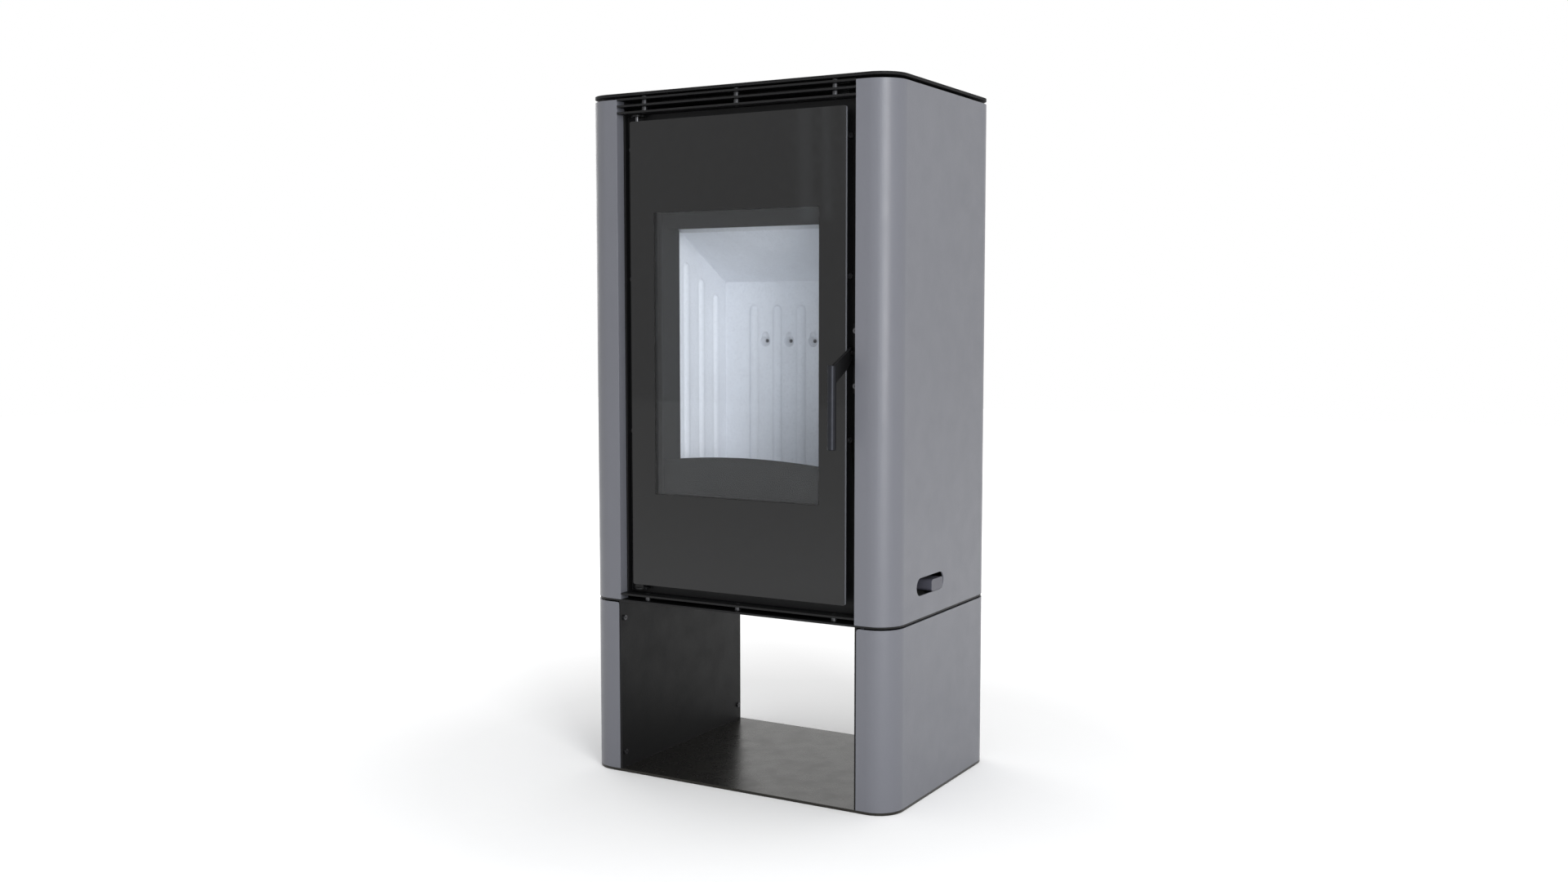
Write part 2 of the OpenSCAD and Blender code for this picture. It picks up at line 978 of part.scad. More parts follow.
module ash_pan() {
    color("#48484a")
        difference() {
            union() {
                box(-pan_w / 2, pan_w / 2, pan_front_y, pan_back_y, ash_z, ash_z + pan_h);
                box(-pan_grip_w / 2, pan_grip_w / 2, pan_front_y - 14, pan_front_y,
                    ash_z + pan_h - pan_t, ash_z + pan_h);
                box(-pan_grip_w / 2, pan_grip_w / 2, pan_front_y - 14, pan_front_y - 14 + pan_t,
                    ash_z + pan_h - pan_grip_h, ash_z + pan_h);
            }
            box(-pan_w / 2 + pan_t, pan_w / 2 - pan_t, pan_front_y + pan_t, pan_back_y - pan_t,
                ash_z + pan_t, ash_z + pan_h + cut);
        }
}

// ---------- air inlet, flue and rear ----------

inlet_end = 2;

module air_inlet() {
    color("#38383a")
        difference() {
            union() {
                bar_y(0, box_back_y, box_back_y + firebox_t, inlet_z, inlet_flange_r);
                bar_y(0, box_back_y, back_y - inlet_end, inlet_z, inlet_r);
            }
            bar_y(0, box_back_y - cut, back_y + cut, inlet_z, inlet_r - inlet_wall);
        }
}

module flue_collar() {
    color("#2b2b2d")
        difference() {
            translate([0, flue_y, box_top_z + firebox_t]) {
                cylinder(r = flue_flange_r, h = flue_flange_t);
                cylinder(r = flue_r, h = flue_flange_t + flue_h);
            }
            translate([0, flue_y, box_top_z])
                cylinder(r = flue_r - flue_wall, h = firebox_t + flue_flange_t + flue_h + cut);
            flue_bolt_places(box_top_z)
                cylinder(r = bolt_hole_r, h = firebox_t + flue_flange_t + cut);
        }
}

bolt_head_r = 6;
bolt_head_h = 4;

module flue_bolts() {
    color("#4a4a4c")
        flue_bolt_places(box_top_z) {
            cylinder(r = bolt_r, h = firebox_t + flue_flange_t);
            translate([0, 0, firebox_t + flue_flange_t])
                cylinder(r = bolt_head_r, h = bolt_head_h, $fn = 6);
        }
}

rear_screw_rows = 4;
rear_screw_edge = 40;

module rear_screw_places() {
    for (k = [0:rear_screw_rows - 1])
        translate([upper_edge - rear_lip / 2,
            rear_flange_y + casing_t + rear_panel_t,
            separator_top + rear_screw_edge
                + k * (carrier_under - separator_top - 2 * rear_screw_edge) / (rear_screw_rows - 1)])
            rotate([90, 0, 0])
                children();
}

vent_w = 46;
vent_h = 7;
vent_rows = 5;
vent_step = 18;

module rear_panel() {
    color("#232325")
        difference() {
            box(-upper_edge + slide_gap, upper_edge - slide_gap,
                rear_flange_y + casing_t, rear_flange_y + casing_t + rear_panel_t,
                separator_top, carrier_under);
            bar_y(0, rear_flange_y, back_y, inlet_z, inlet_hole_r);
            for (m = [0, 1])
                mirror([m, 0, 0])
                    rear_screw_places()
                        translate([0, 0, -screw_len])
                            cylinder(r = screw_hole_r, h = 2 * screw_len);
            for (x = [-120, -60, 0, 60, 120])
                for (k = [0:vent_rows - 1])
                    translate([x, 0, carrier_under - 30 - k * vent_step])
                        along_y(rear_flange_y, back_y)
                            slot_2d(vent_w, vent_h);
            for (x = [-130, 130])
                for (k = [0:vent_rows - 1])
                    translate([x, 0, separator_top + 30 + k * vent_step])
                        along_y(rear_flange_y, back_y)
                            slot_2d(vent_w, vent_h);
        }
}

module rear_screws() {
    color("#2c2c2e")
        for (m = [0, 1])
            mirror([m, 0, 0])
                rear_screw_places()
                    screw(casing_t + rear_panel_t + 3);
}

// ---------- hinge, catch ----------

module hinge_bracket(z) {
    difference() {
        union() {
            box(hinge_x - bracket_w / 2, hinge_x + bracket_w / 2, hinge_y, frame_y, z, z + bracket_t);
            translate([hinge_x, hinge_y, z])
                cylinder(r = bracket_w / 2 - 3, h = bracket_t);
        }
        translate([hinge_x, hinge_y, z - cut])
            cylinder(r = hinge_pin_r + run_gap, h = bracket_t + 2 * cut);
    }
}

module hinge_brackets() {
    color("#262628") {
        hinge_bracket(bracket_top_z);
        hinge_bracket(bracket_low_z);
    }
}

module catch_block() {
    color("#2e2e30")
        difference() {
            box(catch_x, catch_x + catch_w, frame_y - catch_d, frame_y, catch_z, catch_z + catch_h);
            catch_screw_places(frame_y - catch_d)
                translate([0, 0, -cut])
                    cylinder(r = screw_hole_r, h = catch_d + 2 * cut);
        }
}

// ---------- door ----------

rope_low = ash_door_z - 20;
rope_high = window_top + 20;

module door_outline() {
    translate([frame_left, frame_low])
        square([frame_right - frame_left, frame_high - frame_low]);
}

module rope_loop(grow) {
    translate([0, (rope_low + rope_high) / 2])
        difference() {
            rounded_rect(2 * rope_half + rope_w + 2 * grow, rope_high - rope_low + rope_w + 2 * grow,
                rope_corner_r + rope_w / 2 + grow);
            rounded_rect(2 * rope_half - rope_w - 2 * grow, rope_high - rope_low - rope_w - 2 * grow,
                rope_corner_r - rope_w / 2 - grow);
        }
}

channel_t = 2.5;
channel_d = 5;
rim_t = 2.5;

module door_frame() {
    color("#1f1f21")
        difference() {
            union() {
                along_y(plate_y, rim_y)
                    door_outline();
                along_y(rim_y, rim_end_y)
                    difference() {
                        door_outline();
                        translate([frame_left + rim_t, frame_low + rim_t])
                            square([frame_right - frame_left - 2 * rim_t,
                                frame_high - frame_low - 2 * rim_t]);
                    }
                along_y(rim_y, rim_y + channel_d)
                    rope_loop(channel_t + slide_gap / 2);
                box(block_x, frame_right, plate_y, rim_end_y,
                    pivot_z - block_h / 2, pivot_z + block_h / 2);
                box(hinge_x - lug_w / 2 + 1, hinge_x + lug_w / 2, plate_y, plate_y + lug_d,
                    frame_high - lug_h, frame_high);
                box(hinge_x - lug_w / 2 + 1, hinge_x + lug_w / 2, plate_y, plate_y + lug_d,
                    bracket_low_z + bracket_t + slide_gap, frame_low + lug_h);
            }
            box(-window_w / 2, window_w / 2, plate_y - cut, rim_y + cut, window_z, window_top);
            along_y(rim_y, rim_y + channel_d + cut)
                rope_loop(slide_gap / 2);
            bar_x(block_x - cut, frame_right + cut, pivot_y, pivot_z, pivot_r);
            for (z = [frame_high - lug_h - cut, bracket_low_z])
                translate([hinge_x, hinge_y, z])
                    cylinder(r = hinge_pin_r, h = 2 * lug_h);
        }
}

module door_glass() {
    color([0.1, 0.1, 0.11, 0.5])
        along_y(glass_y, plate_y)
            translate([0, glass_z + glass_h / 2])
                rounded_rect(glass_w, glass_h, glass_r);
}

module seal_rope() {
    color("#4b4a48")
        along_y(rim_y, frame_y - slide_gap)
            rope_loop(0);
}

module hinge_pins() {
    color("#8c8c90") {
        translate([hinge_x, hinge_y, frame_high - lug_h])
            cylinder(r = hinge_pin_r, h = bracket_top_z + bracket_t - frame_high + lug_h);
        translate([hinge_x, hinge_y, bracket_low_z])
            cylinder(r = hinge_pin_r, h = frame_low + lug_h - bracket_low_z);
    }
}

// ---------- handle ----------

module handle_pin() {
    color("#8c8c90")
        bar_x(block_x, arm_x + arm_t, pivot_y, pivot_z, pivot_r);
}

boss_r = 6;
arm_back = 14;

module handle_lever() {
    color("#2a2a2c")
        difference() {
            union() {
                along_x(arm_x, arm_x + arm_t) {
                    translate([pivot_y, pivot_z])
                        circle(r = hub_r);
                    polygon([
                        [pivot_y - 1, pivot_z + hub_r - 0.5],
                        [grip_y, grip_top - 1],
                        [grip_y, grip_top - 1 - arm_h],
                        [pivot_y - arm_back, pivot_z - 22.6],
                        [pivot_y + 1, pivot_z - hub_r + 0.5]
                    ]);
                }
                bar_x(frame_right + slide_gap, arm_x, pivot_y, pivot_z, boss_r);
            }
            bar_x(frame_right - cut, arm_x + arm_t + cut, pivot_y, pivot_z, pivot_r + run_gap);
            translate([grip_x, grip_y, grip_top - grip_len])
                cylinder(r = grip_r, h = grip_len);
        }
}

grip_bevel = 0.8;

module handle_grip() {
    color("#55565a")
        translate([grip_x, grip_y, grip_top - grip_len])
            rotate_extrude()
                polygon([
                    [0, 0],
                    [grip_r - grip_bevel, 0],
                    [grip_r, grip_bevel],
                    [grip_r, grip_len - grip_bevel],
                    [grip_r - grip_bevel, grip_len],
                    [0, grip_len]
                ]);
}

// ---------- air control ----------

rod_in = 12;
yoke_t = 4;
yoke_w = 24;
yoke_x = shutter_x + shutter_w / 2 - 12;

module air_knob() {
    color("#494b52")
        difference() {
            translate([0, knob_y, knob_z])
                along_x(knob_x - knob_d, knob_x)
                    rounded_rect(knob_l, knob_h, knob_r);
            bar_x(knob_x - knob_d - cut, knob_x - knob_d + rod_in, knob_y, knob_z, rod_r);
        }
}

module air_rod() {
    color("#8c8c90")
        bar_x(yoke_x, knob_x - knob_d + rod_in, knob_y, knob_z, rod_r);
}

shutter_top = deck_z - slide_gap;
shutter_y = knob_y - port_pitch / 4;

module air_shutter() {
    color("#6b6b6f")
        difference() {
            union() {
                box(shutter_x - shutter_w / 2, shutter_x + shutter_w / 2,
                    shutter_y - shutter_l / 2, shutter_y + shutter_l / 2,
                    shutter_top - shutter_t, shutter_top);
                box(yoke_x, yoke_x + yoke_t, knob_y - yoke_w / 2, knob_y + yoke_w / 2,
                    knob_z - rod_r - 4, shutter_top - shutter_t);
            }
            bar_x(yoke_x - cut, yoke_x + yoke_t + cut, knob_y, knob_z, rod_r);
            for (k = [-1, 0, 1])
                box(shutter_x - port_w / 2, shutter_x + port_w / 2,
                    shutter_y + k * port_pitch - port_l / 2, shutter_y + k * port_pitch + port_l / 2,
                    shutter_top - shutter_t - cut, shutter_top + cut);
        }
}

module shutter_rails() {
    color("#38383a")
        for (s = [-1, 1])
            translate([shutter_x, 0, 0])
                along_y(shutter_y - shutter_l / 2 - knob_travel - rail_room,
                    shutter_y + shutter_l / 2 + rail_room)
                    polygon([
                        [s * (shutter_w / 2 + slide_gap), deck_z],
                        [s * (shutter_w / 2 + slide_gap + rail_t), deck_z],
                        [s * (shutter_w / 2 + slide_gap + rail_t),
                            shutter_top - shutter_t - slide_gap - rail_t],
                        [s * (shutter_w / 2 - rail_lip),
                            shutter_top - shutter_t - slide_gap - rail_t],
                        [s * (shutter_w / 2 - rail_lip), shutter_top - shutter_t - slide_gap],
                        [s * (shutter_w / 2 + slide_gap), shutter_top - shutter_t - slide_gap]
                    ]);
}

// ---------- assembly ----------

base_plate();
log_panel_left();
log_panel_right();
panel_screws();
lower_casing_left();
lower_casing_right();
separator_plate();
louvre_slat();
louvre_studs();
upper_casing_left();
upper_casing_right();
top_plate();
top_spacers();
top_carrier();
grille_slat_top();
grille_slat_middle();
grille_slat_bottom();
grille_studs();
front_frame();
frame_screws();
side_rail_left();
side_rail_right();
firebox_feet();
firebox_wall_left();
firebox_wall_right();
firebox_back();
firebox_top();
firebox_floor();
firebox_deck();
hearth_shelf();
throat_liner();
log_retainer();
duct_plate();
lining_left();
lining_right();
lining_back();
baffle();
hearth_slab();
grate();
ash_pan();
air_inlet();
flue_collar();
flue_bolts();
rear_panel();
rear_screws();
hinge_brackets();
catch_block();
shutter_rails();
door_frame();
door_glass();
seal_rope();
hinge_pins();
handle_pin();
handle_lever();
handle_grip();
air_knob();
air_rod();
air_shutter();
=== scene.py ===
"""Looks of an upright wood burning stove, built around its packed construction model.

The construction model gives every plate, board, pin and screw its place and shape. This
script gives each of them its finish and its softened edges, makes the braided sealing rope
that the plain solid stands for, and sets up the studio: floor, lamps, sky and camera.
All lengths are in metres, in the construction model's own frame.
"""

import logging
import math
from dataclasses import dataclass, field
from enum import Enum
from typing import Any, Iterable, Optional, Sequence

import bpy
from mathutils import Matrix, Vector


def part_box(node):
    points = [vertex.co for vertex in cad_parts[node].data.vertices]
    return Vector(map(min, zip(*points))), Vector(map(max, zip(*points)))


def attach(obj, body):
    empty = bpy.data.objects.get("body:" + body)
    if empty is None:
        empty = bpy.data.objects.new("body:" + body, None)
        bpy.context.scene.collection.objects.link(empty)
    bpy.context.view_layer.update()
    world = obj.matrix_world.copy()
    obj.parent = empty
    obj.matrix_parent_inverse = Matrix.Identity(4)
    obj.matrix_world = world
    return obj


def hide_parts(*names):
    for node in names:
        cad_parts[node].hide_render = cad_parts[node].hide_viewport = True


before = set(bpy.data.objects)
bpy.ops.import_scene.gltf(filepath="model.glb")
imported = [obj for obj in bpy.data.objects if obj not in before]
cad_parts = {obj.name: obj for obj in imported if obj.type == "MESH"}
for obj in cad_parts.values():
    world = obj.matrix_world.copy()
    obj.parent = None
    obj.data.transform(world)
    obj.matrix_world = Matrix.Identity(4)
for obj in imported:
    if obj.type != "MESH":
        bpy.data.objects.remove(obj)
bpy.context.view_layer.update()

Colour = tuple[float, float, float]
Socket = bpy.types.NodeSocket

SEAM_GAP = 0.000002  # furthest that two points of one seam lie apart, in metres
EDGE_ANGLE = math.radians(38)  # least turn that counts as an edge
EDGE_FACETS = 2  # facets across a broken edge
FACE_WEIGHT = 80  # how far the larger faces decide the shading
MIX_COLOURS = (6, 7)  # numbers of a mix node's two colour inputs
MIX_RESULT = 2  # number of its colour output

log = logging.getLogger("stove")


def scaled(colour: Colour, factor: float) -> Colour:
    """Gives a colour made lighter or darker.

    Args:
        colour: The colour.
        factor: What each of its parts is multiplied by.

    Returns:
        The new colour.
    """
    return tuple(part * factor for part in colour)


class EdgeBreak(Enum):
    """Width of the broken edge that each way of making a piece leaves, in metres."""

    SHEET = 0.00045
    PLATE = 0.0007
    CASTING = 0.0012
    BOARD = 0.0009
    TURNED = 0.0003
    GROUND = 0.0005
    LASER_CUT = 0.0


# ---------------------------------------------------------------- finishes


class FinishSheet:
    """The node tree of one material, with short calls that add and wire its nodes."""

    def __init__(self, name: str, preview: Colour) -> None:
        """Starts an empty material.

        Args:
            name: Name of the material.
            preview: Colour that a plain viewport shows.
        """
        self.material = bpy.data.materials.new(name)
        self.material.use_nodes = True
        self.material.diffuse_color = (*preview, 1.0)
        self.tree = self.material.node_tree
        self.tree.nodes.clear()
        self.output = self.tree.nodes.new("ShaderNodeOutputMaterial")
        self.place = self.tree.nodes.new("ShaderNodeTexCoord")

    def add(self, kind: str, **values: Any) -> bpy.types.Node:
        """Adds a node and sets its plain attributes.

        Args:
            kind: Node type, without the "ShaderNode" at its front.
            **values: Attributes of the node.

        Returns:
            The new node.
        """
        node = self.tree.nodes.new("ShaderNode" + kind)
        for key, value in values.items():
            setattr(node, key, value)
        return node

    def feed(self, node: bpy.types.Node, name: str | int, value: Any) -> None:
        """Wires a socket to an input, or sets the input's own value.

        Args:
            node: Node that takes the value.
            name: Name or number of its input.
            value: A socket, a number, or a colour.
        """
        target = node.inputs[name]
        if isinstance(value, bpy.types.NodeSocket):
            self.tree.links.new(value, target)
        elif isinstance(value, tuple) and len(value) == 3 and target.type == "RGBA":
            target.default_value = (*value, 1.0)
        else:
            target.default_value = value

    def maths(self, operation: str, first: Any, second: Any = 0.0) -> Socket:
        """Combines two numbers.

        Args:
            operation: Name of the operation.
            first: First number or socket.
            second: Second number or socket.

        Returns:
            The result's socket.
        """
        node = self.add("Math", operation=operation)
        self.feed(node, 0, first)
        self.feed(node, 1, second)
        return node.outputs[0]

    def stretch(self, factors: Colour) -> Socket:
        """Gives the object's own coordinates, scaled along each axis.

        Args:
            factors: Scale along X, Y and Z.

        Returns:
            The scaled coordinates' socket.
        """
        node = self.add("Mapping")
        self.feed(node, "Vector", self.place.outputs["Object"])
        node.inputs["Scale"].default_value = factors
        return node.outputs[0]

    def noise(
        self,
        scale: float,
        detail: float = 2.0,
        roughness: float = 0.5,
        where: Optional[Socket] = None,
    ) -> Socket:
        """Gives a cloudy noise between 0 and 1.

        Args:
            scale: Cells in a metre.
            detail: Octaves of finer noise.
            roughness: Share of the finer octaves.
            where: Coordinates, or the object's own.

        Returns:
            The noise's socket.
        """
        node = self.add("TexNoise")
        self.feed(node, "Vector", where or self.place.outputs["Object"])
        self.feed(node, "Scale", scale)
        self.feed(node, "Detail", detail)
        self.feed(node, "Roughness", roughness)
        return node.outputs["Fac"]

    def flakes(self, scale: float) -> Socket:
        """Gives a random grey for each flake of a pressed board.

        Args:
            scale: Flakes in a metre.

        Returns:
            The grey's socket.
        """
        node = self.add("TexVoronoi", feature="F1")
        self.feed(node, "Vector", self.place.outputs["Object"])
        self.feed(node, "Scale", scale)
        grey = self.add("RGBToBW")
        self.feed(grey, 0, node.outputs["Color"])
        return grey.outputs[0]

    def span(
        self,
        value: Any,
        low: float = 0.3,
        high: float = 0.7,
        to_low: float = 0.0,
        to_high: float = 1.0,
    ) -> Socket:
        """Maps a number from one range to another, held at both ends.

        Args:
            value: The number's socket.
            low: Start of its range; a cloudy noise starts near 0.3.
            high: End of its range; a cloudy noise ends near 0.7.
            to_low: What the start becomes.
            to_high: What the end becomes.

        Returns:
            The mapped number's socket.
        """
        node = self.add("MapRange", clamp=True)
        for name, number in (
            ("Value", value),
            ("From Min", low),
            ("From Max", high),
            ("To Min", to_low),
            ("To Max", to_high),
        ):
            self.feed(node, name, number)
        return node.outputs["Result"]

    def blend(self, share: Any, first: Any, second: Any) -> Socket:
        """Mixes two colours.

        Args:
            share: Share of the second colour.
            first: First colour or socket.
            second: Second colour or socket.

        Returns:
            The mixed colour's socket.
        """
        node = self.add("Mix", data_type="RGBA")
        self.feed(node, "Factor", share)
        for index, value in zip(MIX_COLOURS, (first, second)):
            self.feed(node, index, value)
        return node.outputs[MIX_RESULT]

    def relief(self, height: Socket, depth: float, under: Optional[Socket] = None) -> Socket:
        """Turns a height into a surface normal.

        Args:
            height: Height between 0 and 1.
            depth: Height that 1 stands for, in metres.
            under: Normal that it adds to.

        Returns:
            The normal's socket.
        """
        node = self.add("Bump")
        self.feed(node, "Strength", 1.0)
        self.feed(node, "Distance", depth)
        self.feed(node, "Height", height)
        if under is not None:
            self.feed(node, "Normal", under)
        return node.outputs[0]

    def painted_edge_highlight(self, width: float) -> Socket:
        """Gives 1 along an edge, where a painted highlight goes, and 0 on the open face.

        Args:
            width: Reach of the painted highlight from the edge, in metres.

        Returns:
            The mask's socket.
        """
        rounded = self.add("Bevel", samples=4)
        self.feed(rounded, "Radius", width)
        flat = self.add("NewGeometry")
        dot = self.add("VectorMath", operation="DOT_PRODUCT")
        self.feed(dot, 0, rounded.outputs[0])
        self.feed(dot, 1, flat.outputs["Normal"])
        return self.span(dot.outputs["Value"], low=0.995, high=0.80)

    def painted_crease_shade(self, reach: float) -> Socket:
        """Gives up to 1 in the creases, by ambient occlusion, for painted shade there, and 0
        on the open face.

        Args:
            reach: How far from a crease the painted shade reaches, in metres.

        Returns:
            The mask's socket.
        """
        node = self.add("AmbientOcclusion", samples=8, only_local=True)
        self.feed(node, "Distance", reach)
        return self.span(node.outputs["AO"], low=0.92, high=0.45)

    def surface(self, **values: Any) -> bpy.types.Node:
        """Adds the principled surface and sets its inputs.

        Args:
            **values: Inputs by name, with underscores for spaces.

        Returns:
            The surface's node.
        """
        node = self.add("BsdfPrincipled")
        for key, value in values.items():
            self.feed(node, key.replace("_", " "), value)
        return node

    def done(self, shader: Socket) -> bpy.types.Material:
        """Wires the last shader to the output.

        Args:
            shader: The last shader's socket.

        Returns:
            The finished material.
        """
        self.tree.links.new(shader, self.output.inputs["Surface"])
        return self.material


@dataclass(frozen=True)
class StovePaint:
    """Heat-resistant stove paint, baked on sheet steel."""

    name: str
    colour: Colour
    # Colour of the painted edge highlight, also taken by the fine light specks.
    highlight_and_speck_colour: Colour
    gloss_roughness: float = 0.42
    mottle: float = 0.05
    grain: float = 0.00005
    peel: float = 0.00007
    # Reach and share of the painted edge highlight.
    edge_highlight_width: float = 0.0010
    edge_highlight_share: float = 0.6
    ior: float = 1.45
    gloss_tint: Colour = (1.0, 1.0, 1.0)
    smoother: float = 0.04
    rougher: float = 0.05

    def make(self) -> bpy.types.Material:
        """Builds the paint: base, mottle, fine grain, orange peel and a painted highlight on
        the edges.
        """
        sheet = FinishSheet(self.name, self.colour)
        cloud = sheet.noise(scale=7.0, detail=4.0, roughness=0.6)
        fine = sheet.noise(scale=1500.0, detail=2.0, roughness=0.6)
        darker = scaled(self.colour, 1.0 - self.mottle)
        lighter = scaled(self.colour, 1.0 + self.mottle)
        body = sheet.blend(sheet.span(cloud), darker, lighter)
        speck = sheet.span(fine, low=0.62, high=0.80, to_high=0.35)
        body = sheet.blend(speck, body, self.highlight_and_speck_colour)
        # Painted highlight: every edge is lightened by a bevel mask.
        edge = sheet.maths("MULTIPLY", sheet.painted_edge_highlight(self.edge_highlight_width), self.edge_highlight_share)
        body = sheet.blend(edge, body, self.highlight_and_speck_colour)
        smear = sheet.noise(scale=26.0, detail=3.0, roughness=0.55)
        rough = sheet.span(
            smear,
            to_low=self.gloss_roughness - self.smoother,
            to_high=self.gloss_roughness + self.rougher,
        )
        normal = sheet.relief(sheet.noise(scale=260.0, detail=1.0, roughness=0.4), self.peel)
        normal = sheet.relief(fine, self.grain, normal)
        paint = sheet.surface(
            Base_Color=body, Roughness=rough, Normal=normal, IOR=self.ior,
            Specular_Tint=self.gloss_tint,
        )
        return sheet.done(paint.outputs[0])


@dataclass(frozen=True)
class FireboxSteel:
    """Bare hot-rolled plate inside the firebox, with mill scale and a dusting of ash."""

    name: str
    colour: Colour = (0.009, 0.009, 0.0095)
    scale_colour: Colour = (0.020, 0.019, 0.018)

    def make(self) -> bpy.types.Material:
        """Builds the plate: clouded scale, pitted grain and dull gloss."""
        sheet = FinishSheet(self.name, self.colour)
        cloud = sheet.noise(scale=18.0, detail=6.0, roughness=0.65)
        pits = sheet.noise(scale=700.0, detail=3.0, roughness=0.6)
        scale = sheet.span(cloud, low=0.45, high=0.75, to_high=0.7)
        body = sheet.blend(scale, self.colour, self.scale_colour)
        rough = sheet.span(cloud, to_low=0.55, to_high=0.72)
        normal = sheet.relief(pits, depth=0.00012)
        plate = sheet.surface(Base_Color=body, Roughness=rough, Normal=normal, IOR=1.25)
        return sheet.done(plate.outputs[0])


@dataclass(frozen=True)
class CastIron:
    """Blackened grey iron with the grain of its sand mould."""

    name: str
    colour: Colour = (0.040, 0.040, 0.042)
    # Colour, reach and share of the painted edge highlight.
    highlight_and_speck_colour: Colour = (0.13, 0.13, 0.135)
    edge_highlight_width: float = 0.0015
    edge_highlight_share: float = 0.5
    shade: float = 0.6

    def make(self) -> bpy.types.Material:
        """Builds the casting: sand grain, soft lumps and a painted highlight on the edges."""
        sheet = FinishSheet(self.name, self.colour)
        sand = sheet.noise(scale=900.0, detail=3.0, roughness=0.7)
        lumps = sheet.noise(scale=120.0, detail=2.0, roughness=0.5)
        dark = scaled(self.colour, self.shade)
        body = sheet.blend(sheet.span(lumps), dark, self.colour)
        # Painted highlight: every edge is lightened by a bevel mask.
        edge = sheet.maths("MULTIPLY", sheet.painted_edge_highlight(self.edge_highlight_width), self.edge_highlight_share)
        body = sheet.blend(edge, body, self.highlight_and_speck_colour)
        normal = sheet.relief(lumps, depth=0.0003)
        normal = sheet.relief(sand, depth=0.00018, under=normal)
        iron = sheet.surface(
            Base_Color=body,
            Metallic=0.55,
            Roughness=sheet.span(sand, to_low=0.52, to_high=0.70),
            Normal=normal,
        )
        return sheet.done(iron.outputs[0])


@dataclass(frozen=True)
class WorkedSteel:
    """Steel that was turned or brushed, with its tool marks across the upright axis."""

    name: str
    colour: Colour
    roughness: float
    marks: float = 900.0
    along: float = 30.0
    depth: float = 0.00002
    oxide: Colour = (0.05, 0.05, 0.055)
    oxide_share: float = 0.25
    smoother: float = 0.06
    rougher: float = 0.08

    def make(self) -> bpy.types.Material:
        """Builds the steel: fine marks, patchy oxide and a satin gloss."""
        sheet = FinishSheet(self.name, self.colour)
        across = sheet.stretch((self.along, self.along, self.marks))
        lines = sheet.noise(scale=1.0, detail=3.0, roughness=0.6, where=across)
        patches = sheet.noise(scale=90.0, detail=3.0, roughness=0.6)
        patchy = sheet.span(patches, low=0.45, high=0.75, to_high=self.oxide_share)
        body = sheet.blend(patchy, self.colour, self.oxide)
        rough = sheet.span(
            lines, to_low=self.roughness - self.smoother, to_high=self.roughness + self.rougher
        )
        steel = sheet.surface(
            Base_Color=body,
            Metallic=1.0,
            Roughness=rough,
            Normal=sheet.relief(lines, self.depth),
        )
        return sheet.done(steel.outputs[0])


@dataclass(frozen=True)
class VermiculiteBoard:
    """Pale pressed vermiculite: flakes, pinholes and faint press marks."""

    name: str
    colour: Colour = (0.86, 0.875, 0.91)
    flake_colour: Colour = (0.70, 0.71, 0.745)
    pin_colour: Colour = (0.40, 0.39, 0.38)
    # Grey of the painted shade in the creases.
    dust_and_shade_colour: Colour = (0.30, 0.305, 0.33)
    # Near-black of the board faces in front of the mouth.
    front_dark_colour: Colour = (0.006, 0.006, 0.006)
    shade: float = 0.90
    # Reach of the painted shade from a crease, in metres.
    crease_shade_reach: float = 0.012
    mouth_y: float = -0.1416
    mouth_fade: float = 0.0008

    def make(self) -> bpy.types.Material:
        """Builds the board: clouds, flakes, pinholes, a dry grain, painted shade in the
        creases and near-black faces in front of the mouth.
        """
        sheet = FinishSheet(self.name, self.colour)
        drawn = sheet.stretch((1.0, 1.0, 0.35))
        cloud = sheet.noise(scale=9.0, detail=5.0, roughness=0.6, where=drawn)
        flake = sheet.flakes(scale=420.0)
        pins = sheet.noise(scale=520.0, detail=2.0, roughness=0.7)
        shade = scaled(self.colour, self.shade)
        body = sheet.blend(sheet.span(cloud, low=0.35, high=0.70), self.colour, shade)
        flaky = sheet.span(flake, low=0.55, high=0.95, to_high=0.45)
        body = sheet.blend(flaky, body, self.flake_colour)
        pinned = sheet.span(pins, low=0.70, high=0.78, to_high=0.5)
        body = sheet.blend(pinned, body, self.pin_colour)
        # Painted shade: creases and the rims of ribs and recesses darken by ambient occlusion.
        body = sheet.blend(sheet.painted_crease_shade(self.crease_shade_reach), body, self.dust_and_shade_colour)
        parts = sheet.add("SeparateXYZ")
        sheet.feed(parts, 0, sheet.place.outputs["Object"])
        # Board faces in front of the mouth turn near-black.
        mouth = sheet.span(
            parts.outputs["Y"],
            low=self.mouth_y,
            high=self.mouth_y + self.mouth_fade,
            to_low=1.0,
            to_high=0.0,
        )
        body = sheet.blend(mouth, body, self.front_dark_colour)
        normal = sheet.relief(flake, depth=0.00022)
        normal = sheet.relief(pins, depth=0.00025, under=normal)
        board = sheet.surface(Base_Color=body, Roughness=0.88, Normal=normal, IOR=1.4)
        return sheet.done(board.outputs[0])


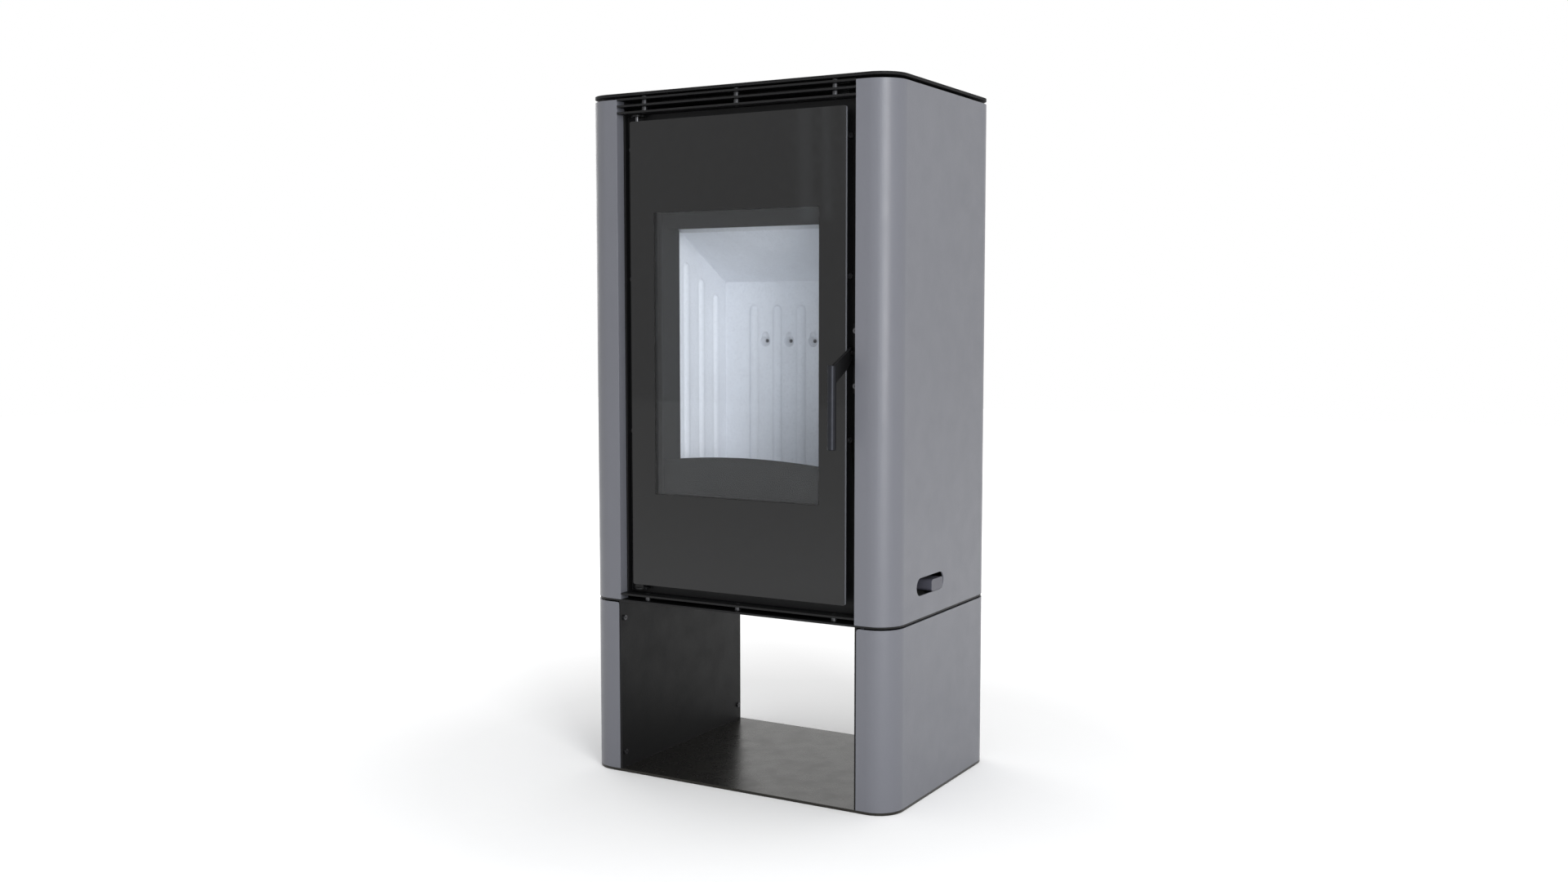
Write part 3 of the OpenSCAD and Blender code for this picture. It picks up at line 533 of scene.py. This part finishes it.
@dataclass(frozen=True)
class PrintedGlass:
    """Clear ceramic glass whose border is printed black, with polished edges."""

    name: str
    clear_half_width: float
    clear_low: float
    clear_high: float
    print_colour: Colour = (0.0022, 0.0022, 0.0024)
    # Grey of the glass's edge faces: a painted highlight of the polished edge.
    edge_glint_colour: Colour = (0.16, 0.165, 0.18)
    tint: Colour = (0.93, 0.945, 0.96)
    fade: float = 0.0004
    cloud_lift: float = 1.5
    wave_depth: float = 0.000015
    print_ior: float = 1.42
    pane_ior: float = 1.32
    pane_roughness: float = 0.03

    def inside(self, sheet: FinishSheet) -> Socket:
        """Gives 1 in the clear window and 0 in the printed border.

        Args:
            sheet: The material's node tree.

        Returns:
            The mask's socket.
        """
        parts = sheet.add("SeparateXYZ")
        sheet.feed(parts, 0, sheet.place.outputs["Object"])
        aside = sheet.maths("ABSOLUTE", parts.outputs["X"])
        middle = (self.clear_low + self.clear_high) / 2
        half = (self.clear_high - self.clear_low) / 2
        above = sheet.maths("ABSOLUTE", sheet.maths("SUBTRACT", parts.outputs["Z"], middle))
        masks = [
            sheet.span(
                value, low=limit - self.fade, high=limit + self.fade, to_low=1.0, to_high=0.0
            )
            for value, limit in ((aside, self.clear_half_width), (above, half))
        ]
        return sheet.maths("MULTIPLY", *masks)

    def make(self) -> bpy.types.Material:
        """Builds the pane: printed border, clear window, gloss and a painted highlight on the
        polished edges.
        """
        sheet = FinishSheet(self.name, self.print_colour)
        facing = sheet.add("SeparateXYZ")
        sheet.feed(facing, 0, sheet.place.outputs["Normal"])
        flat = sheet.span(sheet.maths("ABSOLUTE", facing.outputs["Y"]), low=0.75, high=0.95)
        waves = sheet.noise(scale=14.0, detail=1.0, roughness=0.4)
        normal = sheet.relief(waves, self.wave_depth)
        cloud = sheet.noise(scale=60.0, detail=3.0, roughness=0.6)
        warmer = scaled(self.print_colour, self.cloud_lift)
        body = sheet.blend(sheet.span(cloud, low=0.35), self.print_colour, warmer)
        # Edge faces take a flat grey, a painted highlight of the polished edge.
        body = sheet.blend(flat, self.edge_glint_colour, body)
        border = sheet.surface(
            Base_Color=body,
            Roughness=sheet.span(cloud, to_low=0.03, to_high=0.07),
            Normal=normal,
            IOR=self.print_ior,
        )
        through = sheet.add("BsdfTransparent")
        sheet.feed(through, "Color", self.tint)
        gloss = sheet.add("BsdfGlossy")
        sheet.feed(gloss, "Color", (1.0, 1.0, 1.0))
        sheet.feed(gloss, "Roughness", self.pane_roughness)
        sheet.feed(gloss, "Normal", normal)
        share = sheet.add("Fresnel")
        sheet.feed(share, "IOR", self.pane_ior)
        pane = sheet.add("MixShader")
        sheet.feed(pane, 0, share.outputs[0])
        sheet.feed(pane, 1, through.outputs[0])
        sheet.feed(pane, 2, gloss.outputs[0])
        both = sheet.add("MixShader")
        sheet.feed(both, 0, sheet.maths("MULTIPLY", self.inside(sheet), flat))
        sheet.feed(both, 1, border.outputs[0])
        sheet.feed(both, 2, pane.outputs[0])
        return sheet.done(both.outputs[0])


@dataclass(frozen=True)
class GlassFibreRope:
    """Graphite-grey glass fibre, braided and a little fuzzy."""

    name: str
    colour: Colour = (0.085, 0.083, 0.080)
    dust_and_shade_colour: Colour = (0.19, 0.185, 0.18)
    shade: float = 0.45

    def make(self) -> bpy.types.Material:
        """Builds the fibre: fine threads, dusty greys and a soft sheen."""
        sheet = FinishSheet(self.name, self.colour)
        threads = sheet.noise(scale=1800.0, detail=3.0, roughness=0.7)
        dust = sheet.noise(scale=60.0, detail=3.0, roughness=0.6)
        dark = scaled(self.colour, self.shade)
        body = sheet.blend(sheet.span(threads, low=0.35, high=0.65), dark, self.colour)
        dusty = sheet.span(dust, low=0.5, high=0.8, to_high=0.35)
        body = sheet.blend(dusty, body, self.dust_and_shade_colour)
        fibre = sheet.surface(
            Base_Color=body,
            Roughness=0.93,
            Sheen_Weight=0.3,
            Sheen_Roughness=0.5,
            Normal=sheet.relief(threads, depth=0.0002),
        )
        return sheet.done(fibre.outputs[0])


# ---------------------------------------------------------------- pieces


@dataclass
class SubAssembly:
    """A group of the stove's nodes that share finishes, dressed together."""

    title: str = "group"

    def dress(self, names: Iterable[str], finish: bpy.types.Material, edge: EdgeBreak) -> None:
        """Gives nodes their finish and soft edges.

        Args:
            names: Nodes of the construction model.
            finish: Material that they take.
            edge: How their edges are broken.
        """
        for name in names:
            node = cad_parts[name]
            node.data.materials.clear()
            node.data.materials.append(finish)
            if edge is not EdgeBreak.LASER_CUT:
                self.soften(node, edge.value)
            log.info("%s: %s in %s", self.title, name, finish.name)

    def soften(self, node: bpy.types.Object, width: float) -> None:
        """Breaks a node's sharp edges without touching its own mesh.

        Args:
            node: The node's object.
            width: Width of the broken edge, in metres.
        """
        weld = node.modifiers.new("joined seams", "WELD")
        weld.merge_threshold = SEAM_GAP
        bevel = node.modifiers.new("broken edges", "BEVEL")
        bevel.width = width
        bevel.segments = EDGE_FACETS
        bevel.limit_method = "ANGLE"
        bevel.angle_limit = EDGE_ANGLE
        bevel.use_clamp_overlap = True
        bevel.miter_outer = "MITER_ARC"
        smooth = node.modifiers.new("even shading", "WEIGHTED_NORMAL")
        smooth.mode = "FACE_AREA"
        smooth.weight = FACE_WEIGHT
        smooth.keep_sharp = False


@dataclass
class LogStore(SubAssembly):
    """The open base: base plate, side panels and lower casings."""

    title: str = "log store"
    plates: Sequence[str] = ("separator_plate",)
    panels: Sequence[str] = ("log_panel_left", "log_panel_right")
    casings: Sequence[str] = ("lower_casing_left", "lower_casing_right")
    screws: Sequence[str] = ("panel_screws",)

    def build(self, black: bpy.types.Material, hearth: bpy.types.Material,
              grey: bpy.types.Material, fixing: bpy.types.Material) -> None:
        """Dresses the log store.

        Args:
            black: Black stove paint.
            hearth: Glossier black paint of the base plate.
            grey: Grey casing paint.
            fixing: Blackened fixings.
        """
        self.dress(("base_plate",), hearth, EdgeBreak.PLATE)
        self.dress(self.plates, black, EdgeBreak.PLATE)
        self.dress(self.panels, black, EdgeBreak.LASER_CUT)
        self.dress(self.casings, grey, EdgeBreak.SHEET)
        self.dress(self.screws, fixing, EdgeBreak.TURNED)


@dataclass
class Body(SubAssembly):
    """The tall casings, the top, the grille, the louvre and the front and rear plates."""

    title: str = "body"
    casings: Sequence[str] = ("upper_casing_left", "upper_casing_right")
    plates: Sequence[str] = ("top_carrier", "front_frame", "side_rail_left",
                             "side_rail_right", "rear_panel", "top_spacers")
    slats: Sequence[str] = ("louvre_slat", "grille_slat_top", "grille_slat_middle",
                            "grille_slat_bottom")
    studs: Sequence[str] = ("louvre_studs", "grille_studs")
    screws: Sequence[str] = ("frame_screws", "rear_screws")

    def build(self, black: bpy.types.Material, matt: bpy.types.Material,
              grey: bpy.types.Material, fixing: bpy.types.Material,
              stud: bpy.types.Material) -> None:
        """Dresses the body.

        Args:
            black: Black stove paint.
            matt: Duller black paint of the hot top plate.
            grey: Grey casing paint.
            fixing: Blackened fixings.
            stud: Lighter turned studs.
        """
        self.dress(self.casings, grey, EdgeBreak.SHEET)
        self.dress(("top_plate",), matt, EdgeBreak.PLATE)
        self.dress(self.plates, black, EdgeBreak.SHEET)
        self.dress(self.slats, black, EdgeBreak.SHEET)
        self.dress(self.studs, stud, EdgeBreak.TURNED)
        self.dress(self.screws, fixing, EdgeBreak.TURNED)


@dataclass
class Firebox(SubAssembly):
    """The welded firebox, its board lining, its iron parts and its air and flue ways."""

    title: str = "firebox"
    steel: Sequence[str] = (
        "firebox_feet", "firebox_wall_left", "firebox_wall_right", "firebox_back",
        "firebox_top", "firebox_floor", "firebox_deck", "hearth_shelf", "throat_liner",
        "log_retainer", "duct_plate", "ash_pan", "air_inlet", "shutter_rails",
    )
    boards: Sequence[str] = (
        "lining_left", "lining_right", "lining_back", "baffle", "hearth_slab",
    )
    castings: Sequence[str] = ("grate", "flue_collar")
    bolts: Sequence[str] = ("flue_bolts",)

    def build(self, steel: bpy.types.Material, board: bpy.types.Material,
              iron: bpy.types.Material, fixing: bpy.types.Material) -> None:
        """Dresses the firebox.

        Args:
            steel: Firebox plate.
            board: Vermiculite board.
            iron: Cast iron.
            fixing: Blackened fixings.
        """
        self.dress(self.steel, steel, EdgeBreak.SHEET)
        self.dress(self.boards, board, EdgeBreak.BOARD)
        self.dress(self.castings, iron, EdgeBreak.CASTING)
        self.dress(self.bolts, fixing, EdgeBreak.TURNED)


@dataclass
class Door(SubAssembly):
    """The glass door, its hinges and catch, and the braided sealing rope behind it."""

    title: str = "door"
    rope_node: str = "seal_rope"
    rope_width: float = 0.009
    rope_corner: float = 0.014
    rope_step: float = 0.0014
    rope_sides: int = 30
    strands: int = 3
    plait: float = 0.011
    plait_depth: float = 0.00085
    squareness: float = 3.0
    shrink: float = 0.0001

    def centreline(self) -> list[tuple[Vector, Vector]]:
        """Follows the middle of the rope's channel once round.

        Returns:
            Points of the loop, each with its outward direction in the door's plane.
        """
        low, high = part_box(self.rope_node)
        half_w = (high.x - low.x) / 2 - self.rope_width / 2
        half_h = (high.z - low.z) / 2 - self.rope_width / 2
        middle = (low + high) / 2
        r = self.rope_corner
        corners = (
            (half_w - r, half_h - r, 0.0), (-half_w + r, half_h - r, 90.0),
            (-half_w + r, -half_h + r, 180.0), (half_w - r, -half_h + r, 270.0),
        )
        path: list[tuple[Vector, Vector]] = []
        for index, (cx, cz, start) in enumerate(corners):
            turns = max(4, round(r * math.pi / 2 / self.rope_step))
            for k in range(turns + 1):
                a = math.radians(start + 90.0 * k / turns)
                out = Vector((math.cos(a), 0.0, math.sin(a)))
                path.append((middle + Vector((cx, 0.0, cz)) + out * r, out))
            nx, nz, after = corners[(index + 1) % 4]
            a = math.radians(after)
            out = Vector((math.cos(a), 0.0, math.sin(a)))
            end = middle + Vector((nx, 0.0, nz)) + out * r
            begin = path[-1][0]
            count = max(2, round((end - begin).length / self.rope_step))
            path += [(begin.lerp(end, k / count), out) for k in range(1, count)]
        return path

    def braid(self, around: float, turns: float) -> float:
        """Gives how far a point of the braid lies under its highest strands.

        Args:
            around: Angle round the rope.
            turns: Angle of the plait along the rope.

        Returns:
            A share of the plait's depth, from 0 to 1.
        """
        left = math.cos(self.strands * around + turns)
        right = math.cos(self.strands * around - turns)
        weave = 0.5 + 0.5 * math.sin(2.0 * turns)
        top = max(left * (0.75 + 0.25 * weave), right * (1.0 - 0.25 * weave))
        return (1.0 - max(-1.0, min(1.0, top))) / 2.0

    def rope_mesh(self) -> bpy.types.Mesh:
        """Sweeps the braided section round the loop.

        Returns:
            The rope's closed mesh.
        """
        low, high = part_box(self.rope_node)
        half_deep = (high.y - low.y) / 2 - self.shrink
        half_wide = self.rope_width / 2 - self.shrink
        path = self.centreline()
        length = sum(
            (path[(k + 1) % len(path)][0] - path[k][0]).length for k in range(len(path))
        )
        plaits = round(length / self.plait)
        points: list[Vector] = []
        along = 0.0
        for k, (centre, out) in enumerate(path):
            turns = 2.0 * math.pi * plaits * along / length
            for j in range(self.rope_sides):
                a = 2.0 * math.pi * j / self.rope_sides
                c, s = math.cos(a), math.sin(a)
                reach = (abs(c) ** self.squareness + abs(s) ** self.squareness) ** (
                    -1.0 / self.squareness
                )
                under = self.plait_depth * self.braid(a, turns)
                wide = (half_wide - under) * reach * c
                deep = (half_deep - under) * reach * s
                points.append(centre + out * wide + Vector((0.0, deep, 0.0)))
            along += (path[(k + 1) % len(path)][0] - centre).length
        rings, sides = len(path), self.rope_sides
        faces = [
            (
                k * sides + j,
                k * sides + (j + 1) % sides,
                ((k + 1) % rings) * sides + (j + 1) % sides,
                ((k + 1) % rings) * sides + j,
            )
            for k in range(rings)
            for j in range(sides)
        ]
        mesh = bpy.data.meshes.new("sealing_rope")
        mesh.from_pydata([tuple(p) for p in points], [], faces)
        mesh.update()
        mesh.polygons.foreach_set("use_smooth", [True] * len(mesh.polygons))
        return mesh

    def build_rope(self, fibre: bpy.types.Material) -> None:
        """Makes the braided rope in the door's channel.

        Args:
            fibre: Glass fibre finish.
        """
        rope = bpy.data.objects.new("sealing_rope", self.rope_mesh())
        bpy.context.scene.collection.objects.link(rope)
        rope.data.materials.append(fibre)
        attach(rope, "door")
        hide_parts(self.rope_node)
        log.info("%s: sealing rope of %d faces", self.title, len(rope.data.polygons))

    def build(self, black: bpy.types.Material, pane: bpy.types.Material,
              fixing: bpy.types.Material, bright: bpy.types.Material,
              fibre: bpy.types.Material) -> None:
        """Dresses the door and makes its rope.

        Args:
            black: Black stove paint.
            pane: Printed glass.
            fixing: Blackened fixings.
            bright: Bright turned steel.
            fibre: Glass fibre finish.
        """
        self.dress(("door_frame", "hinge_brackets", "catch_block"), black, EdgeBreak.SHEET)
        self.dress(("door_glass",), pane, EdgeBreak.GROUND)
        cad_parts["door_glass"].visible_shadow = False  # lamps reach the lining through it
        self.dress(("hinge_pins",), fixing, EdgeBreak.TURNED)
        self.dress(("handle_pin",), bright, EdgeBreak.TURNED)
        self.build_rope(fibre)


@dataclass
class Controls(SubAssembly):
    """The door lever with its grip, and the finger slider of the air control."""

    title: str = "controls"

    def build(self, black: bpy.types.Material, grip: bpy.types.Material,
              knob: bpy.types.Material, bright: bpy.types.Material,
              steel: bpy.types.Material) -> None:
        """Dresses the handle and the air control.

        Args:
            black: Black stove paint.
            grip: Dark satin steel.
            knob: Slider paint.
            bright: Bright turned steel.
            steel: Firebox plate.
        """
        self.dress(("handle_lever",), black, EdgeBreak.SHEET)
        self.dress(("handle_grip",), grip, EdgeBreak.TURNED)
        self.dress(("air_knob",), knob, EdgeBreak.PLATE)
        self.dress(("air_rod",), bright, EdgeBreak.TURNED)
        self.dress(("air_shutter",), steel, EdgeBreak.SHEET)


# ---------------------------------------------------------------- studio


@dataclass(frozen=True)
class SoftBox:
    """One rectangular soft lamp that faces a point of the stove."""

    name: str
    azimuth: float
    distance: float
    height: float
    width: float
    tall: float
    watts: float
    aim: Colour = (0.0, 0.0, 0.55)
    colour: Colour = (1.0, 1.0, 1.0)

    def build(self) -> None:
        """Makes the lamp and turns it towards its aim."""
        data = bpy.data.lights.new(self.name, "AREA")
        data.shape = "RECTANGLE"
        data.size = self.width
        data.size_y = self.tall
        data.energy = self.watts
        data.color = self.colour
        lamp = bpy.data.objects.new(self.name, data)
        bpy.context.scene.collection.objects.link(lamp)
        a = math.radians(self.azimuth)
        lamp.location = (
            math.sin(a) * self.distance, -math.cos(a) * self.distance, self.height
        )
        aim = Vector(self.aim) - lamp.location
        lamp.rotation_euler = aim.to_track_quat("-Z", "Y").to_euler()


@dataclass
class Studio:
    """Floor, sky, lamps and camera round the stove."""

    floor_half: float = 9.0
    floor_drop: float = 0.0003
    floor_tone: float = 0.93
    floor_speck: float = 1.01
    # Glow of the floor near the stove and far from it; the low glow near it is painted shade.
    near_glow: float = 0.06
    far_glow: float = 0.62
    near_reach: float = 0.55
    far_reach: float = 1.9
    sky_light: float = 0.57
    eye: Colour = (1.1825, -2.0776, 0.7035)
    pitch_down: float = 0.0800
    yaw: float = 0.5223
    lens: float = 35.154
    sensor: float = 36.0
    clip: tuple[float, float] = (0.05, 60.0)
    lamps: Sequence[SoftBox] = field(
        default_factory=lambda: (
            SoftBox("key", 49.0, 2.6, 1.25, 0.8, 2.0, 39.0),
            SoftBox("corner strip", 36.0, 3.0, 1.2, 0.75, 2.4, 20.0, colour=(0.86, 0.92, 1.0)),
            SoftBox("overhead", 170.0, 0.5, 3.1, 2.0, 2.0, 24.0),
            SoftBox("rear fill", 242.0, 3.0, 1.6, 1.6, 2.0, 15.0),
            *(
                SoftBox(name, turn, 3.10, 1.75, width, 1.5, watts, colour=(0.85, 0.92, 1.0))
                for name, turn, width, watts in (
                    ("glint wide", -25.9, 0.045, 0.07),
                    ("glint thin", -24.6, 0.025, 0.05),
                    ("glint edge", -23.2, 0.020, 0.05),
                )
            ),
        )
    )

    def seen_only(self, tree: bpy.types.NodeTree) -> Socket:
        """Gives 1 on rays that only look, and 0 on rays that light the stove.

        Args:
            tree: Node tree that the ray test is added to.

        Returns:
            The test's socket.
        """
        path = tree.nodes.new("ShaderNodeLightPath")
        last = path.outputs["Is Camera Ray"]
        for name in ("Is Glossy Ray", "Is Transmission Ray"):
            either = tree.nodes.new("ShaderNodeMath")
            either.operation = "MAXIMUM"
            tree.links.new(last, either.inputs[0])
            tree.links.new(path.outputs[name], either.inputs[1])
            last = either.outputs[0]
        return last

    def build_floor(self) -> None:
        """Lays the pale floor, which keeps the stove's soft shadow and adds painted shade
        round the base, where its glow is low.
        """
        h, z = self.floor_half, -self.floor_drop
        mesh = bpy.data.meshes.new("floor")
        mesh.from_pydata([(-h, -h, z), (h, -h, z), (h, h, z), (-h, h, z)], [], [(0, 1, 2, 3)])
        floor = bpy.data.objects.new("floor", mesh)
        bpy.context.scene.collection.objects.link(floor)
        sheet = FinishSheet("pale floor", (self.floor_tone,) * 3)
        speck = sheet.noise(scale=35.0, detail=3.0, roughness=0.5)
        tone = (self.floor_tone,) * 3
        body = sheet.blend(speck, tone, scaled(tone, self.floor_speck))
        matt = sheet.add("BsdfDiffuse")
        sheet.feed(matt, "Color", body)
        glow = sheet.add("Emission")
        away = sheet.add("VectorMath", operation="LENGTH")
        sheet.feed(away, 0, sheet.place.outputs["Object"])
        # Painted shade: the glow is low near the stove and rises away from it, so the floor
        # round the base stays darker.
        rise = sheet.span(
            away.outputs["Value"],
            low=self.near_reach,
            high=self.far_reach,
            to_low=self.near_glow,
            to_high=self.far_glow,
        )
        share = sheet.maths("MULTIPLY", self.seen_only(sheet.tree), rise)
        sheet.feed(glow, "Strength", share)
        both = sheet.add("AddShader")
        sheet.feed(both, 0, matt.outputs[0])
        sheet.feed(both, 1, glow.outputs[0])
        mesh.materials.append(sheet.done(both.outputs[0]))

    def build_sky(self) -> None:
        """Sets the white surround and the plain light that it gives."""
        world = bpy.data.worlds.new("white surround")
        world.use_nodes = True
        tree = world.node_tree
        back = next(n for n in tree.nodes if n.type == "BACKGROUND")
        back.inputs["Color"].default_value = (1.0, 1.0, 1.0, 1.0)
        span = tree.nodes.new("ShaderNodeMapRange")
        tree.links.new(self.seen_only(tree), span.inputs["Value"])
        span.inputs["To Min"].default_value = self.sky_light
        span.inputs["To Max"].default_value = 1.0
        tree.links.new(span.outputs["Result"], back.inputs["Strength"])
        bpy.context.scene.world = world

    def build_camera(self) -> None:
        """Sets the camera."""
        data = bpy.data.cameras.new("camera")
        data.lens = self.lens
        data.sensor_width = self.sensor
        data.sensor_fit = "HORIZONTAL"
        data.clip_start, data.clip_end = self.clip
        camera = bpy.data.objects.new("camera", data)
        bpy.context.scene.collection.objects.link(camera)
        camera.location = self.eye
        camera.rotation_euler = (math.pi / 2 - self.pitch_down, 0.0, self.yaw)
        bpy.context.scene.camera = camera

    def build(self) -> None:
        """Builds the whole studio."""
        self.build_floor()
        self.build_sky()
        for lamp in self.lamps:
            lamp.build()
        self.build_camera()
        bpy.context.scene.view_settings.view_transform = "Standard"
        log.info("studio: floor, sky, %d lamps, camera", len(self.lamps))


@dataclass(frozen=True)
class Finishes:
    """Every finish of the stove, each made once."""

    casing: StovePaint = StovePaint(
        "casing paint", (0.131, 0.134, 0.152), (0.23, 0.235, 0.258),
        gloss_roughness=0.36, mottle=0.012, edge_highlight_share=0.35,
    )
    black: StovePaint = StovePaint(
        "black paint", (0.0045, 0.0045, 0.0048), (0.032, 0.032, 0.034),
        gloss_roughness=0.46, mottle=0.12, edge_highlight_share=0.7, ior=1.29,
    )
    top: StovePaint = StovePaint(
        "top plate paint", (0.0045, 0.0045, 0.0048), (0.045, 0.045, 0.047),
        gloss_roughness=0.66, mottle=0.12, edge_highlight_share=0.8, ior=1.27,
    )
    hearth: StovePaint = StovePaint(
        "base plate paint", (0.0095, 0.0090, 0.0080), (0.040, 0.039, 0.036),
        gloss_roughness=0.27, mottle=0.10, edge_highlight_share=0.6, ior=1.43,
        grain=0.000015, peel=0.00001, gloss_tint=(1.0, 0.96, 0.86),
    )
    knob: StovePaint = StovePaint(
        "slider paint", (0.062, 0.062, 0.078), (0.12, 0.12, 0.14),
        gloss_roughness=0.38, mottle=0.05,
    )
    steel: FireboxSteel = FireboxSteel("firebox plate")
    iron: CastIron = CastIron("cast iron")
    board: VermiculiteBoard = VermiculiteBoard("vermiculite board")
    glass: PrintedGlass = PrintedGlass(
        "printed glass", clear_half_width=0.141, clear_low=0.437, clear_high=0.861,
    )
    rope: GlassFibreRope = GlassFibreRope("glass fibre rope")
    fixing: WorkedSteel = WorkedSteel(
        "blackened fixings", (0.10, 0.10, 0.105), 0.38, oxide_share=0.5
    )
    stud: WorkedSteel = WorkedSteel(
        "turned studs", (0.10, 0.10, 0.105), 0.46, oxide_share=0.4
    )
    bright: WorkedSteel = WorkedSteel("bright steel", (0.52, 0.52, 0.53), 0.30)
    grip: WorkedSteel = WorkedSteel(
        "grip steel", (0.024, 0.025, 0.029), 0.38, oxide_share=0.2
    )


def main() -> None:
    """Builds the stove's looks and its studio, in order."""
    logging.basicConfig(level=logging.INFO, format="%(name)s: %(message)s")
    kit = Finishes()
    casing, black = kit.casing.make(), kit.black.make()
    steel, fixing = kit.steel.make(), kit.fixing.make()
    bright = kit.bright.make()
    LogStore().build(black, kit.hearth.make(), casing, fixing)
    Body().build(black, kit.top.make(), casing, fixing, kit.stud.make())
    Firebox().build(steel, kit.board.make(), kit.iron.make(), fixing)
    Door().build(black, kit.glass.make(), fixing, bright, kit.rope.make())
    Controls().build(black, kit.grip.make(), kit.knob.make(), bright, steel)
    Studio().build()


if __name__ == "__main__":
    main()
